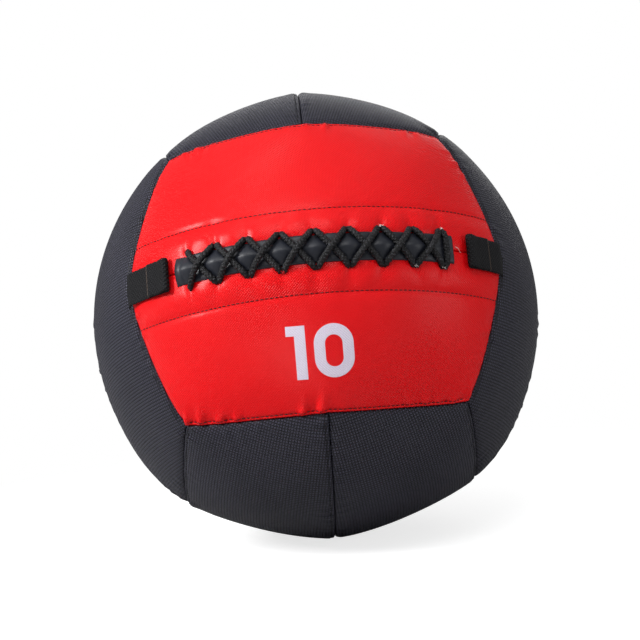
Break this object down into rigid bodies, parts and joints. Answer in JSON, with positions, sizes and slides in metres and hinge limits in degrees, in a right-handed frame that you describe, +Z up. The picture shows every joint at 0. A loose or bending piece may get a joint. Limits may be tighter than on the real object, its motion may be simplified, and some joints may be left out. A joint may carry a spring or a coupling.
{
  "type": "wall ball",
  "caption": "Soft weighted ball sewn from coated fabric panels, with a laced filling slot under a padded strip and a webbing strap at each end.",
  "frame": {"origin": "centre of the ball's outline on the floor, between its two flats", "axes": "+Z up, the laced red face towards -Y and turned 20 degrees upwards, +X to the right of someone who looks at that face"},
  "size_m": [0.3556, 0.3523, 0.355],
  "materials": {
    "red_cover": "glossy coated fabric",
    "charcoal_cover": "coated fabric with a fine embossed grid",
    "black_vinyl": "smooth padded vinyl",
    "black_cord": "braided cord",
    "black_webbing": "woven webbing",
    "lining_cloth": "plain woven cloth",
    "packed_fibre": "packed fibre",
    "iron_sand": "loose grains"
  },
  "bodies": {
    "ball": {"front_upper_panel": "red_cover", "front_lower_panel": "red_cover", "back_upper_panel": "charcoal_cover", "back_lower_panel": "charcoal_cover", "top_left_panel": "charcoal_cover", "top_right_panel": "charcoal_cover", "bottom_left_panel": "charcoal_cover", "bottom_right_panel": "charcoal_cover", "left_front_panel": "charcoal_cover", "left_back_panel": "charcoal_cover", "right_front_panel": "charcoal_cover", "right_back_panel": "charcoal_cover", "upper_facing": "lining_cloth", "lower_facing": "lining_cloth", "lacing_strip": "black_vinyl", "lace": "black_cord", "lace_knot": "black_cord", "left_strap_root": "black_webbing", "right_strap_root": "black_webbing", "front_inner_bag": "lining_cloth", "back_inner_bag": "lining_cloth", "front_fill": "packed_fibre", "back_fill": "packed_fibre", "weight_pouch": "lining_cloth", "pouch_tie": "black_cord", "iron_sand": "iron_sand"},
    "left_strap": {"left_strap": "black_webbing"},
    "right_strap": {"right_strap": "black_webbing"}
  },
  "joints": [
    {"name": "left_strap_lift", "type": "hinge", "parent": "ball", "child": "left_strap", "pos_m": [-0.13952, -0.10349, 0.21526], "axis": [0, -0.342, -0.9397], "range_deg": [0, 120]},
    {"name": "right_strap_lift", "type": "hinge", "parent": "ball", "child": "right_strap", "pos_m": [0.13952, -0.10349, 0.21526], "axis": [0, 0.342, 0.9397], "range_deg": [0, 120]}
  ]
}
